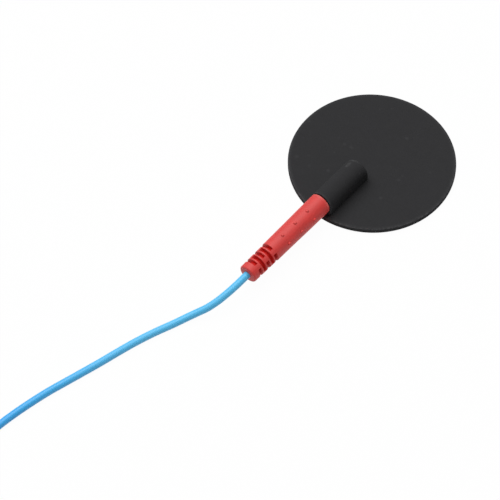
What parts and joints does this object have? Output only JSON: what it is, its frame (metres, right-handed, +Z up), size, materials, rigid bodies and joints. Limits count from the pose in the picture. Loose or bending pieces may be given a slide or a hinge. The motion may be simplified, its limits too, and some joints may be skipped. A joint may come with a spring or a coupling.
{
  "type": "tens electrode pad",
  "caption": "Round conductive rubber electrode disc with a moulded pin socket boss, plugged-in red pin plug and thin blue single-core lead wound into a flat coil.",
  "frame": {"origin": "centre of the pad's round contact face, which lies on the surface the pad stands on", "axes": "+Z up out of the pad's back, where the socket boss stands; the socket's mouth and the lead point along -Y; +X completes the frame"},
  "size_m": [0.0737, 0.2227, 0.009],
  "materials": {
    "pad_rubber": "matt conductive rubber with a very fine grain",
    "plug_red": "satin moulded soft plastic",
    "pin_nickel": "nickel-plated turned brass",
    "conductor_copper": "bare stranded copper",
    "lead_blue": "smooth flexible insulation"
  },
  "bodies": {
    "root": {"electrode_pad": "pad_rubber", "plug_body": "plug_red", "contact_pin": "pin_nickel", "conductor_end": "conductor_copper", "far_plug_body": "plug_red", "far_contact_pin": "pin_nickel", "far_conductor_end": "conductor_copper", "lead_wire": "lead_blue", "lead_coil": "lead_blue", "lead_tail": "lead_blue"}
  },
  "joints": []
}
